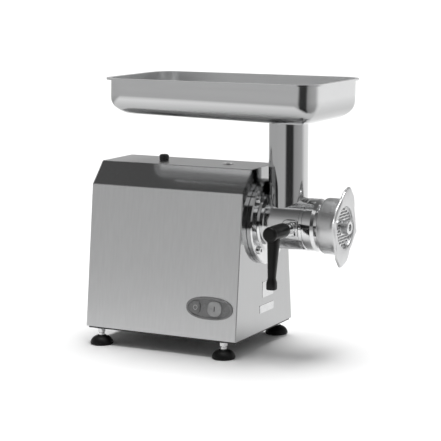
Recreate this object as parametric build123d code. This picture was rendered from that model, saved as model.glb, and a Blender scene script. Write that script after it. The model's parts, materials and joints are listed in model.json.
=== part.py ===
from build123d import *
import os
from math import acos, cos, pi, radians, sin, tan

# Electric meat grinder. Millimetres, +X towards the grinding head, -Y on the switch side, +Z up,
# origin on the table under the middle of the machine's bounding box.

# ---- Driving dimensions ----
SHEET = 1.5                      # stainless sheet of the housing and the tray
RUN = 0.06                       # radial clearance of a running fit
LOOSE = 0.3                      # radial clearance between neighbours that move apart

FRONT_X = 80.0                   # outer face of the front panel
HOUSING_L = 300.0
REAR_X = FRONT_X - HOUSING_L
BASE_Z = 31.6                    # lower edge of the housing
BEND_Z = 286.0                   # bend between the leaning side and the chamfer
TOP_Z = 324.5
BASE_HALF = 115.0                # half widths of the housing at those three heights
BEND_HALF = 87.5
TOP_HALF = 51.75
BEND_R = 3.0
PANEL_GAP = 0.3                  # open joint between the wrap and the end panels
BASE_PLATE_T = 3.0

FOOT_R = 20.5
FOOT_H = 16.5
FOOT_X = (FRONT_X - 26.7, REAR_X + 27.8)
FOOT_Y = 108.2
STUD_R = 4.0

HEAD_Z = 227.4                   # axis of the grinding head
FLANGE_R = 75.0
FLANGE_T = 10.0
FLANGE_PCD = 126.0
SLEEVE_R = 46.0
SLEEVE_BORE = 38.2
NECK_R = 42.0
NECK_END = FRONT_X + 28.6
SLEEVE_END = FRONT_X + 84.0
SLEEVE_FLOOR = FRONT_X + 15.0
SOCKET_R = 17.5                  # shaft passage through the flange

BARREL_BORE = 32.5
BARREL_REAR = SLEEVE_FLOOR + 1.0
BARREL_WALL_END = BARREL_REAR + 8.0
COLLAR_R = 46.3
COLLAR_END = FRONT_X + 106.0
NOTCH_R = 42.0
THREAD_R = 43.5
NUT_REAR = FRONT_X + 118.0
MOUTH_START = FRONT_X + 125.0
MOUTH_R = 41.1
FACE_X = FRONT_X + 154.0         # front face of the ring nut
LIP_T = 5.0
PLATE_T = 10.0
PLATE_R = 41.0
OUTLET_R = 36.0
NUT_R = 49.0
EAR_R = 70.0
EAR_TILT = 16.0
BARREL_END = FACE_X - LIP_T - 2.0
PLATE_X = FACE_X - LIP_T - PLATE_T
HUB_R = 12.0
HUB_X = FRONT_X + 162.0          # nose of the plate's hub, the foremost point
PIN_R = 6.0                      # worm stud that centres the plate

WORM_R = 31.8
WORM_CORE = 15.0
WORM_PITCH = 40.0
WORM_TOOTH = 64.0                # degrees that the flight covers in a cross section
JOURNAL_R = 14.0
TANG = 16.0
KNIFE_T = 10.5
KNIFE_R = 37.0
KNIFE_SQUARE = 14.0

FEED_X = FRONT_X + 44.8
FEED_R = 34.6
FEED_BORE = 32.0
FEED_TOP = 405.8
PORT_R = 28.0
SPOUT_BORE = 30.4
SPOUT_R = 31.7
SPOUT_DEPTH = 30.0

TRAY_RIM_Z = 477.5
TRAY_FLOOR_Z = 407.5             # underside of the pan at the spout
TRAY_FALL = 1.2                  # degrees that the pan's floor falls towards the outlet
TRAY_X = (FRONT_X - 271.0, FRONT_X + 142.3)
TRAY_W = 230.0
RIM_W = 7.0
RIM_LIP = 3.0
TRAY_CORNER = 35.0               # upright corners of the pan
TRAY_EDGE = 42.0                 # rounding between its walls and floor
TRAY_MITRE = 20.0                # rounding where those edges meet at a corner

LEVER_X = FRONT_X + 71.0
LEVER_R = 13.0
LEVER_IN = -56.0
LEVER_OUT = -134.5
ARM_Y = -114.0
ARM_TIP_Y = -122.0
ARM_LENGTH = 95.0
BOSS_R = 13.0
BOSS_Y = -50.0
LEVER_PIN_R = 5.0

SWITCH_X = FRONT_X - 53.6
SWITCH_Z = 85.5
SWITCH_SIZE = (90.0, 40.0)
SWITCH_PROUD = 3.0
CONTACTS = (76.0, 25.0)          # length and height of the contact block
STOP_X = -26.0                   # buttons' centres from the middle of the bezel
START_X = 11.0
STOP_SIZE = (18.0, 22.0)
START_SIZE = (27.0, 22.0)

GLAND_Y = 40.0
GLAND_Z = 72.0
GLAND_OUT = 22.0
CORD_R = 4.5

MODULE_1, MOTOR_TEETH, WHEEL_TEETH = 1.5, 18, 54
MODULE_2, PINION_TEETH, OUTPUT_TEETH = 2.0, 16, 42
BACKLASH = 0.12
LAYSHAFT_Z = HEAD_Z - MODULE_2 * (PINION_TEETH + OUTPUT_TEETH) / 2
MOTOR_Z = LAYSHAFT_Z - MODULE_1 * (MOTOR_TEETH + WHEEL_TEETH) / 2
BOX_FRONT = FRONT_X - SHEET
BOX_REAR = -2.0
BOX_HALF = 53.0
BOX_WALL = 6.0
COVER_T = 6.0
STAGE_1 = (13.0, 31.0)
STAGE_2 = (36.0, 60.0)

STATOR_R = 62.0
ROTOR_R = 31.0
STATOR = (-110.0, -32.0)
SHIELD_R = 70.0
MOTOR_REAR = -134.0

BOTTOM = (Align.CENTER, Align.CENTER, Align.MIN)
TOP = (Align.CENTER, Align.CENTER, Align.MAX)


# ---- Helpers ----
def save(node, shape):
    """Write one node."""
    export_step(shape, f"parts/{node}.step")


def group(solids):
    """Several separate solids that share a node."""
    return Compound(children=list(solids))


def x_rod(radius, x_start, x_end, y=0.0, z=HEAD_Z):
    """Round bar along X."""
    seat = Plane(origin=(x_start, y, z), z_dir=(1, 0, 0))
    return seat * Cylinder(radius, x_end - x_start, align=BOTTOM)


def x_tube(outer, inner, x_start, x_end, y=0.0, z=HEAD_Z):
    """Round tube along X."""
    return x_rod(outer, x_start, x_end, y, z) - x_rod(inner, x_start, x_end, y, z)


def z_rod(radius, z_start, z_end, x=0.0, y=0.0):
    """Upright round bar."""
    return Pos(x, y, z_start) * Cylinder(radius, z_end - z_start, align=BOTTOM)


def y_rod(radius, y_start, y_end, x, z):
    """Round bar along Y, from y_start towards y_end."""
    seat = Plane(origin=(x, min(y_start, y_end), z), z_dir=(0, 1, 0))
    return seat * Cylinder(radius, abs(y_end - y_start), align=BOTTOM)


def turned(corners, z=HEAD_Z):
    """Solid turned about an axis along X, from (x, radius) corners."""
    outline = Polyline([(x, 0, radius) for x, radius in corners], close=True)
    return Pos(0, 0, z) * revolve(make_face(outline), Axis.X)


def prism(sketch, x_start, x_end, z=0.0):
    """Extrude a (y, z) sketch along X."""
    seat = Plane(origin=(x_start, 0, z), x_dir=(0, 1, 0), z_dir=(1, 0, 0))
    return extrude(seat * sketch, x_end - x_start)


def block(x_start, x_end, y_start, y_end, z_start, z_end):
    """Box between two corners."""
    size = (x_end - x_start, y_end - y_start, z_end - z_start)
    return Pos(x_start, y_start, z_start) * Box(*size, align=(Align.MIN, Align.MIN, Align.MIN))


def socket_screw(seat, direction, shank_r, shank_l, head_r, head_h):
    """Button-head screw with a hex socket, its head resting on seat."""
    head = Cylinder(head_r, head_h, align=BOTTOM)
    head = fillet(head.edges().sort_by(Axis.Z)[-1], head_h * 0.45)
    socket = Pos(0, 0, head_h * 0.4) * extrude(RegularPolygon(head_r * 0.5, 6), head_h)
    shank = Cylinder(shank_r, shank_l, align=TOP)
    return Plane(origin=seat, z_dir=direction) * (head + shank - socket)


def involute_gear(teeth, module, x_range, z, tooth_angle, bore):
    """Spur gear about X with one tooth centred at tooth_angle, in degrees from +Y towards +Z."""
    pitch_r = module * teeth / 2
    base_r = pitch_r * cos(radians(20))
    tip_r = pitch_r + module
    root_r = pitch_r - 1.25 * module
    half_pitch = pi / (2 * teeth) - BACKLASH / (2 * pitch_r)

    def involute(angle):
        return tan(angle) - angle

    def half_angle(radius):
        pressure = acos(min(1.0, base_r / radius))
        return half_pitch + involute(radians(20)) - involute(pressure)

    steps = 4
    start_r = max(root_r, base_r)
    flank = [start_r + (tip_r - start_r) * step / steps for step in range(steps + 1)]
    radii = ([root_r] if root_r < base_r else []) + flank
    points = []
    for tooth in range(teeth):
        middle = radians(tooth_angle) + 2 * pi * tooth / teeth
        sides = [(radius, middle - half_angle(radius)) for radius in radii]
        sides += [(radius, middle + half_angle(radius)) for radius in reversed(radii)]
        points += [(radius * cos(angle), radius * sin(angle)) for radius, angle in sides]
    wheel = prism(make_face(Polyline(points, close=True)), x_range[0], x_range[1], z)
    return wheel - x_rod(bore, x_range[0], x_range[1], 0, z)


# ---- Housing ----
def half_width(z):
    """Half width of the leaning sides at a height."""
    return BASE_HALF - (z - BASE_Z) * (BASE_HALF - BEND_HALF) / (BEND_Z - BASE_Z)


def housing_section(inset, lift=0.0):
    """Cross section of the housing, inset from its outer skin."""
    below = BASE_Z - 40
    right = [(half_width(below), below), (BEND_HALF, BEND_Z), (TOP_HALF, TOP_Z)]
    left = [(-y, z) for y, z in reversed(right)]
    skin = make_face(Polyline(right + left, close=True))
    if inset:
        skin = offset(skin, -inset, kind=Kind.INTERSECTION)
    bends = skin.vertices().filter_by(lambda corner: corner.Y > BASE_Z)
    skin = fillet(bends, max(BEND_R - inset, 1.0))
    keep = Pos(0, BASE_Z + lift) * Rectangle(400, 400, align=(Align.CENTER, Align.MIN))
    return skin & keep


def flange_corners(radius=FLANGE_PCD / 2):
    """Four (y, z) places at 45 degrees round the head axis."""
    reach = radius * cos(radians(45))
    return [(side * reach, HEAD_Z + rise * reach) for side in (-1, 1) for rise in (-1, 1)]


def feet():
    """The four foot centres."""
    return [(x, y) for x in FOOT_X for y in (-FOOT_Y, FOOT_Y)]


def build_housing():
    ends = (REAR_X + SHEET + PANEL_GAP, FRONT_X - SHEET - PANEL_GAP)
    wrap = prism(housing_section(0) - housing_section(SHEET), *ends)
    breather = z_rod(6.0, TOP_Z - 5, TOP_Z + 5, FRONT_X - 202)
    filler = z_rod(9.0, TOP_Z - 5, TOP_Z + 5, FRONT_X - 72.8)
    save("housing_wrap", wrap - breather - filler - switch_hole())

    rim = housing_section(SHEET + 0.2, 0.5) - housing_section(2 * SHEET + 0.2, 0.5)
    skin = housing_section(0.3)
    front = prism(skin, FRONT_X - SHEET, FRONT_X) + prism(rim, FRONT_X - 14, FRONT_X - SHEET)
    front -= x_rod(28.0, FRONT_X - 5, FRONT_X + 5)
    for y, z in flange_corners():
        front -= x_rod(4.2, FRONT_X - 5, FRONT_X + 5, y, z)
    save("front_panel", front)

    rear = prism(skin, REAR_X, REAR_X + SHEET) + prism(rim, REAR_X + SHEET, REAR_X + 14)
    rear -= x_rod(8.2, REAR_X - 5, REAR_X + 5, GLAND_Y, GLAND_Z)
    slot = SlotOverall(56, 5)
    for column in (-34, 34):
        for row in range(9):
            rear -= prism(Pos(column, 130 + 14 * row) * slot, REAR_X - 5, REAR_X + 5)
    screws = []
    for y, z in rear_screw_places():
        rear -= x_rod(2.2, REAR_X - 5, REAR_X + 5, y, z)
        screws.append(socket_screw((REAR_X, y, z), (-1, 0, 0), 2.0, 9.0, 3.8, 2.4))
    save("rear_panel", rear)
    save("rear_panel_screws", group(screws))

    plate = block(REAR_X + 2, FRONT_X - 2, -BASE_HALF + 2, BASE_HALF - 2, BASE_Z - BASE_PLATE_T, BASE_Z)
    plate = fillet(plate.edges().filter_by(Axis.Z), 4)
    for x, y in feet():
        plate -= z_rod(STUD_R + RUN, BASE_Z - 10, BASE_Z + 10, x, y)
    vent = SlotOverall(60, 5, rotation=90)
    for column in range(9):
        for y in (-40, 40):
            cut = extrude(Pos(-150 + 14 * column, y, BASE_Z - 10) * vent, 20)
            plate -= cut
    screws = []
    for x in (FRONT_X - 10, REAR_X + 10):
        for y in (-60, 60):
            plate -= z_rod(2.2, BASE_Z - 10, BASE_Z + 10, x, y)
            seat = (x, y, BASE_Z - BASE_PLATE_T)
            screws.append(socket_screw(seat, (0, 0, -1), 2.0, 8.0, 3.8, 2.4))
    save("base_plate", plate)
    save("base_screws", group(screws))

    knob_x = FRONT_X - 202
    knob = z_rod(8.75, TOP_Z, TOP_Z + 11, knob_x)
    knob = fillet(knob.edges().sort_by(Axis.Z)[-1], 2.0)
    knob += z_rod(5.9, TOP_Z - 6, TOP_Z, knob_x)
    save("breather_cap", knob - z_rod(1.5, TOP_Z - 6, TOP_Z + 5, knob_x))
    plug_x = FRONT_X - 72.8
    plug = z_rod(10.5, TOP_Z, TOP_Z + 1.6, plug_x)
    plug = chamfer(plug.edges().sort_by(Axis.Z)[-1], 0.8)
    plug += z_rod(8.9, TOP_Z - 8, TOP_Z, plug_x)
    save("filler_plug", plug - extrude(Pos(plug_x, 0, TOP_Z - 3) * RegularPolygon(4, 6), 10))


def rear_screw_places():
    """Where the rear panel is screwed to its return."""
    return [(side * y, z) for side in (-1, 1) for y, z in ((100, 50), (88, 168), (48, 312))]


def build_feet():
    nuts = []
    for number, (x, y) in enumerate(feet(), start=1):
        outline = Polyline((0, 0), (FOOT_R - 1.5, 0), (FOOT_R, 1.5), (FOOT_R, 4.0))
        dome = ThreePointArc((FOOT_R, 4.0), (16.0, 11.5), (9.0, 15.0))
        crown = Polyline((9.0, 15.0), (7.5, FOOT_H), (0, FOOT_H), (0, 0))
        face = make_face(Plane.XZ * Curve([*outline.edges(), dome, *crown.edges()]))
        pad = revolve(face, Axis.Z) - z_rod(STUD_R, FOOT_H - 7, FOOT_H + 1)
        save(f"foot_pad_{number}", Pos(x, y, 0) * pad)
        stud = z_rod(STUD_R, FOOT_H - 7, BASE_Z + 6.4)
        stud += Pos(0, 0, FOOT_H) * extrude(RegularPolygon(5.8, 6), 4)
        save(f"foot_stud_{number}", Pos(x, y, 0) * stud)
        nut = Pos(0, 0, BASE_Z - BASE_PLATE_T - 6) * extrude(RegularPolygon(7.5, 6), 6)
        nuts.append(Pos(x, y, 0) * (nut - z_rod(STUD_R + RUN, 0, BASE_Z)))
    save("foot_lock_nuts", group(nuts))


# ---- Grinding head ----
def build_head():
    outer = [(FRONT_X, 0), (FRONT_X, FLANGE_R - 1), (FRONT_X + 1, FLANGE_R)]
    outer += [(FRONT_X + FLANGE_T - 2, FLANGE_R), (FRONT_X + FLANGE_T, FLANGE_R - 2)]
    outer += [(FRONT_X + FLANGE_T, 54), (FRONT_X + FLANGE_T + 3, 51), (FRONT_X + FLANGE_T + 5, NECK_R)]
    outer += [(NECK_END - 2, NECK_R), (NECK_END, SLEEVE_R), (SLEEVE_END - 0.6, SLEEVE_R)]
    outer += [(SLEEVE_END, SLEEVE_R - 0.6), (SLEEVE_END, 0)]
    envelope = turned(outer)
    casting = envelope - x_rod(SLEEVE_BORE, SLEEVE_FLOOR, SLEEVE_END)
    casting -= x_rod(SOCKET_R, FRONT_X, SLEEVE_FLOOR) + x_rod(25.0, FRONT_X, FRONT_X + 8)
    boss = y_rod(BOSS_R, BOSS_Y, -SLEEVE_BORE + 8, LEVER_X, HEAD_Z)
    boss = fillet(boss.edges().sort_by(Axis.Y)[0], 2.0)
    casting += boss - x_rod(SLEEVE_BORE, SLEEVE_FLOOR, SLEEVE_END)
    casting -= y_rod(LEVER_PIN_R + RUN, BOSS_Y - 5, -30, LEVER_X, HEAD_Z)
    casting -= z_rod(PORT_R + 2, HEAD_Z, FEED_TOP, FEED_X)
    screws = []
    for y, z in flange_corners():
        casting -= x_rod(4.2, FRONT_X - 5, FRONT_X + 20, y, z)
        screws.append(socket_screw((FRONT_X + FLANGE_T, y, z), (1, 0, 0), 4.0, 22.0, 7.0, 4.4))
    slab = x_rod(FLANGE_R + 5, FRONT_X - 1, FRONT_X + FLANGE_T)
    save("head_flange", group([casting & slab, casting - slab]))
    save("flange_screws", group(screws))

    tube = z_rod(FEED_R, HEAD_Z, FEED_TOP, FEED_X) - z_rod(FEED_BORE, HEAD_Z, FEED_TOP, FEED_X)
    save("feed_tube", tube - envelope)

    save("oil_seal", x_tube(24.9, 16 + RUN, FRONT_X + 0.5, FRONT_X + 8))


def build_barrel():
    fit_r = SLEEVE_BORE - RUN
    groove_r = COLLAR_R - 1.6
    bead = SLEEVE_END + 0.4
    outer = [(BARREL_REAR, JOURNAL_R + RUN), (BARREL_REAR, fit_r), (bead, fit_r), (bead, COLLAR_R)]
    outer += [(bead + 5, COLLAR_R), (bead + 6, groove_r), (bead + 8, groove_r), (bead + 9, COLLAR_R)]
    outer += [(COLLAR_END, COLLAR_R), (COLLAR_END + 5, NOTCH_R), (NUT_REAR - 1, NOTCH_R)]
    outer += [(NUT_REAR + 1, THREAD_R), (BARREL_END, THREAD_R)]
    inner = [(BARREL_END, MOUTH_R), (MOUTH_START, MOUTH_R), (MOUTH_START, BARREL_BORE)]
    inner += [(BARREL_WALL_END, BARREL_BORE), (BARREL_WALL_END, JOURNAL_R + RUN)]
    barrel = turned(outer + inner)
    port = z_rod(PORT_R, HEAD_Z, HEAD_Z + 60, FEED_X)
    port -= block(FRONT_X, BARREL_WALL_END, -60, 60, HEAD_Z, HEAD_Z + 60)
    key = x_rod(2.5, PLATE_X, BARREL_END, 0, HEAD_Z - MOUTH_R + 1)
    save("barrel", barrel - port - key)
    save("plate_key", key)
    washer_end = BARREL_WALL_END + 2.2
    save("thrust_washer", x_tube(26.0, JOURNAL_R + LOOSE, BARREL_WALL_END, washer_end))


def build_worm():
    start, end = BARREL_WALL_END + 2.5, MOUTH_START
    reach = 2 * WORM_R
    wedge = Polyline(
        (0, 0),
        (reach, 0),
        (reach * cos(radians(WORM_TOOTH)), reach * sin(radians(WORM_TOOTH))),
        close=True,
    )
    section = Circle(WORM_CORE) + (Circle(WORM_R) & make_face(wedge))
    face = (Plane(origin=(start, 0, HEAD_Z), x_dir=(0, 1, 0), z_dir=(1, 0, 0)) * section).face()
    turn = 360 * (end - start) / WORM_PITCH
    screw = Solid.extrude_linear_with_rotation(face, (start, 0, HEAD_Z), (end - start, 0, 0), turn)
    worm = Part() + screw + x_rod(JOURNAL_R, BARREL_REAR - 0.5, start)
    square = prism(Rectangle(TANG, TANG), FRONT_X + 4, BARREL_REAR - 0.5, HEAD_Z)
    square = chamfer(square.edges().filter_by(Axis.X), 1.5)
    drive = prism(Rectangle(KNIFE_SQUARE, KNIFE_SQUARE), end, PLATE_X - 0.4, HEAD_Z)
    drive = chamfer(drive.edges().filter_by(Axis.X), 1.0)
    worm = worm + square + drive - x_rod(PIN_R, end - 12, PLATE_X)
    save("worm", worm)
    stud = x_rod(PIN_R, end - 12, HUB_X - 5)
    save("worm_stud", chamfer(stud.edges().sort_by(Axis.X)[-1], 1.0))

    arms = Circle(15)
    for quarter in range(4):
        blade = Pos(KNIFE_R / 2, 2.5) * Rectangle(KNIFE_R + 6, 11)
        arms += Rot(0, 0, 90 * quarter) * blade
    arms = (arms & Circle(KNIFE_R)) - Rectangle(KNIFE_SQUARE + 0.1, KNIFE_SQUARE + 0.1)
    knife = prism(arms, PLATE_X - 0.25 - KNIFE_T, PLATE_X - 0.25, HEAD_Z)
    save("knife", knife)


def hole_grid(inner, outer, spacing):
    """Hexagonal grid of places between two radii."""
    rows = int(outer / (spacing * cos(radians(30)))) + 1
    places = []
    for row in range(-rows, rows + 1):
        for column in range(-rows, rows + 1):
            y = spacing * (column + 0.5 * (row % 2))
            z = spacing * cos(radians(30)) * row
            if inner < (y * y + z * z) ** 0.5 < outer:
                places.append((y, z))
    return places


def build_plate():
    disc = Circle(PLATE_R) - Circle(PIN_R + RUN)
    disc -= [Pos(y, z) * Circle(2.25) for y, z in hole_grid(HUB_R + 2.8, OUTLET_R - 2.6, 6.0)]
    plate = prism(disc, PLATE_X, PLATE_X + PLATE_T, HEAD_Z)
    plate -= x_rod(3.0, PLATE_X, PLATE_X + PLATE_T, 0, HEAD_Z - MOUTH_R + 1)
    hub = turned([
        (PLATE_X + PLATE_T, PIN_R + RUN),
        (PLATE_X + PLATE_T, HUB_R),
        (HUB_X - 1, HUB_R),
        (HUB_X, HUB_R - 1),
        (HUB_X, PIN_R + RUN),
    ])
    save("perforated_plate", group([plate, hub]))


def ear_outline():
    """Face of the ring nut: a disc with two pointed ears, drawn upright."""
    face = Circle(NUT_R - 0.5)
    half = [(0, EAR_R + 1.5), (21.5, 58.0), (37.0, 30.0)]
    whole = half + [(y, -z) for y, z in reversed(half)] + [(-y, -z) for y, z in half[1:]]
    whole += [(-y, z) for y, z in reversed(half[1:])]
    ears = make_face(Polyline(whole, close=True))
    tips = ears.vertices().filter_by(lambda corner: abs(corner.Y) > EAR_R)
    ears = fillet(tips, 5.0)
    shoulders = ears.vertices().filter_by(lambda corner: 57 < abs(corner.Y) < 59)
    ears = fillet(shoulders, 18.0)
    return Rot(0, 0, -EAR_TILT) * (face + ears)


def build_ring_nut():
    body = turned([
        (NUT_REAR, THREAD_R + LOOSE),
        (NUT_REAR, NUT_R - 3),
        (NUT_REAR + 3, NUT_R),
        (FACE_X - LIP_T, NUT_R),
        (FACE_X - LIP_T, THREAD_R + LOOSE),
    ])
    face = prism(ear_outline(), FACE_X - LIP_T, FACE_X, HEAD_Z)
    nut = body + face - x_rod(OUTLET_R, FACE_X - LIP_T, FACE_X)
    edges = nut.edges().filter_by_position(Axis.X, FACE_X - 0.01, FACE_X + 0.01)
    nut = chamfer(edges, 1.2)
    save("ring_nut", nut)


def build_lever():
    hub = y_rod(LEVER_R, LEVER_OUT, LEVER_IN - 4, LEVER_X, HEAD_Z)
    hub = fillet(hub.edges().sort_by(Axis.Y)[0], 5.0)
    neck_seat = Plane(origin=(LEVER_X, LEVER_IN - 4, HEAD_Z), z_dir=(0, 1, 0))
    neck = neck_seat * Cone(LEVER_R, 9.0, 4, align=BOTTOM)

    def slice_at(drop, y, width, depth):
        seat = Plane(origin=(LEVER_X, y, HEAD_Z - drop), x_dir=(1, 0, 0), z_dir=(0, 0, -1))
        return seat * RectangleRounded(width, depth, min(width, depth) * 0.42)

    sections = [
        slice_at(0, ARM_Y, 22, 20),
        slice_at(ARM_LENGTH * 0.35, ARM_Y - 3, 18, 14),
        slice_at(ARM_LENGTH * 0.80, ARM_TIP_Y + 1, 14, 11),
    ]
    grip = [
        slice_at(ARM_LENGTH * 0.80, ARM_TIP_Y + 1, 14, 11),
        slice_at(ARM_LENGTH * 0.90, ARM_TIP_Y, 17.5, 12.5),
        slice_at(ARM_LENGTH, ARM_TIP_Y, 18, 13),
    ]
    arm = loft(sections) + loft(grip)
    handle = hub + neck + arm - y_rod(6.0, -86, LEVER_IN, LEVER_X, HEAD_Z)
    save("lever_handle", handle)
    stud = y_rod(LEVER_PIN_R, LEVER_IN, -SLEEVE_BORE - 0.4, LEVER_X, HEAD_Z)
    stud += y_rod(6.0, -86, LEVER_IN, LEVER_X, HEAD_Z)
    save("lever_stud", stud)
    washer = y_rod(9.0, LEVER_IN, BOSS_Y - LOOSE, LEVER_X, HEAD_Z)
    washer = fillet(washer.edges(), 1.2) - y_rod(LEVER_PIN_R, LEVER_IN, BOSS_Y, LEVER_X, HEAD_Z)
    save("lever_washer", washer)


def build_pan(inset, floor_z, top_z):
    """Solid pan, inset from the tray's outer skin: long edges, cross edges and corners rounded."""
    half = TRAY_W / 2 - RIM_W - inset
    start, end = TRAY_X[0] + RIM_W + inset, TRAY_X[1] - RIM_W - inset
    blank = block(start, end, -half, half, floor_z, top_z)
    lower = blank.edges().group_by(Axis.Z)[0]
    along = fillet(lower.filter_by(Axis.X), TRAY_EDGE - inset)
    across = fillet(lower.filter_by(Axis.Y), TRAY_EDGE - inset)
    upright = fillet(blank.edges().filter_by(Axis.Z), TRAY_CORNER - inset)
    pan = along & across & upright
    mitres = [edge for edge in pan.edges() if min(map(abs, edge.tangent_at(0.5))) > 0.15]
    pan = fillet(mitres, TRAY_MITRE - inset)
    spout_floor = Pos(FEED_X, 0, floor_z)
    return spout_floor * Rot(0, TRAY_FALL, 0) * spout_floor.inverse() * pan


def build_rim(inset, low_z, top_z):
    """Rounded slab under the tray's rim."""
    half = TRAY_W / 2 - inset
    slab = block(TRAY_X[0] + inset, TRAY_X[1] - inset, -half, half, low_z, top_z)
    return fillet(slab.edges().filter_by(Axis.Z), TRAY_CORNER + RIM_W - inset)


def build_tray():
    rim = build_rim(0, TRAY_RIM_Z - RIM_LIP, TRAY_RIM_Z)
    rim -= build_rim(SHEET, TRAY_RIM_Z - RIM_LIP, TRAY_RIM_Z - SHEET)
    below_rim = build_rim(0, 0, TRAY_RIM_Z - SHEET)
    tray = rim + (build_pan(0, TRAY_FLOOR_Z, TRAY_RIM_Z + 10) & below_rim)
    tray -= build_pan(SHEET, TRAY_FLOOR_Z + SHEET, TRAY_RIM_Z + 12)
    tray -= z_rod(SPOUT_R, TRAY_FLOOR_Z - 2, TRAY_FLOOR_Z + 5, FEED_X)
    spout = z_rod(SPOUT_R, TRAY_FLOOR_Z - SPOUT_DEPTH, TRAY_FLOOR_Z + SHEET, FEED_X)
    spout -= z_rod(SPOUT_BORE, TRAY_FLOOR_Z - SPOUT_DEPTH, TRAY_FLOOR_Z + SHEET, FEED_X)
    save("feed_tray", group([tray, spout]))


# ---- Switch ----
def switch_plane(depth=0.0):
    """Plane on the leaning side, normal outwards, sunk by depth."""
    lean = (BASE_HALF - BEND_HALF) / (BEND_Z - BASE_Z)
    normal = Vector(0, -1, lean).normalized()
    origin = Vector(SWITCH_X, -half_width(SWITCH_Z), SWITCH_Z) - normal * depth
    return Plane(origin=origin, x_dir=(1, 0, 0), z_dir=normal)


def stadium(inset):
    """Outline of the switch bezel."""
    return SlotOverall(SWITCH_SIZE[0] - 2 * inset, SWITCH_SIZE[1] - 2 * inset)


def switch_hole():
    """Opening in the side for the contact block."""
    return extrude(switch_plane(5) * RectangleRounded(CONTACTS[0] + 2, CONTACTS[1] + 2, 9), 10)


def build_switch():
    buttons = (("stop_button", STOP_X, STOP_SIZE), ("start_button", START_X, START_SIZE))
    bezel = extrude(switch_plane(0) * stadium(0), SWITCH_PROUD)
    bezel = fillet(bezel.faces().sort_by(Axis.Y)[0].outer_wire().edges(), 1.4)
    ridge = extrude(switch_plane(0) * Pos(-12.5, 0) * RectangleRounded(3.4, 30, 1.5), SWITCH_PROUD + 1.6)
    bezel += ridge
    for _, middle, size in buttons:
        pocket = RectangleRounded(size[0] + 2 * LOOSE, size[1] + 2 * LOOSE, 5 + LOOSE)
        bezel -= extrude(switch_plane(1) * Pos(middle, 0) * pocket, 10)
    save("switch_bezel", bezel)

    box = extrude(switch_plane(32) * RectangleRounded(*CONTACTS, 8), 31.8)
    for node, middle, size in buttons:
        well = RectangleRounded(size[0] + 2 * LOOSE, size[1] + 2 * LOOSE, 5 + LOOSE)
        box -= extrude(switch_plane(12) * Pos(middle, 0) * well, 13)
        face = switch_plane(6) * Pos(middle, 0) * RectangleRounded(*size, 5)
        cap = extrude(face, 6 + SWITCH_PROUD + 1.2)
        cap = fillet(cap.faces().sort_by(Axis.Y)[0].outer_wire().edges(), 1.2)
        save(node, cap)
    save("contact_block", box)


def build_labels():
    upper = block(FRONT_X, FRONT_X + 0.6, -9, 35, 91, 119)
    lower = block(FRONT_X, FRONT_X + 0.6, -20, 37, 64, 78)
    plates = [fillet(plate.edges().filter_by(Axis.X), 1.5) for plate in (upper, lower)]
    save("blank_label_plates", group(plates))


def build_gland():
    seat = Plane(origin=(REAR_X, GLAND_Y, GLAND_Z), z_dir=(-1, 0, 0))
    body = Cylinder(8.0, 12, align=TOP) + Cylinder(12.0, 1.5, align=BOTTOM)
    body += Pos(0, 0, 1.5) * extrude(RegularPolygon(11.5, 6), 6.5)
    dome = Pos(0, 0, 8) * Cylinder(9.2, GLAND_OUT - 8, align=BOTTOM)
    body += fillet(dome.edges().sort_by(Axis.Z)[-1], 3.0)
    body -= Pos(0, 0, -12) * Cylinder(CORD_R, GLAND_OUT + 12, align=BOTTOM)
    save("cord_gland", seat * body)
    inside = Plane(origin=(REAR_X + SHEET, GLAND_Y, GLAND_Z), z_dir=(1, 0, 0))
    nut = inside * extrude(RegularPolygon(11.5, 6), 5)
    save("gland_nut", nut - x_rod(8.1, REAR_X, REAR_X + 20, GLAND_Y, GLAND_Z))


# ---- Gearbox and motor ----
def box_section(half):
    """Upright rounded outline of the gearbox."""
    low, high = MOTOR_Z + 16, HEAD_Z
    body = Pos(0, (low + high) / 2) * Rectangle(2 * half, high - low)
    return body + Pos(0, low) * Circle(half) + Pos(0, high) * Circle(half)


def cover_screw_places():
    """Where the gearbox cover is screwed down."""
    radius = BOX_HALF - BOX_WALL / 2
    low, high = MOTOR_Z + 16, HEAD_Z
    places = [(side * radius, z) for side in (-1, 1) for z in (low, (low + high) / 2, high)]
    return places + [(0, low - radius), (0, high + radius)]


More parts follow.
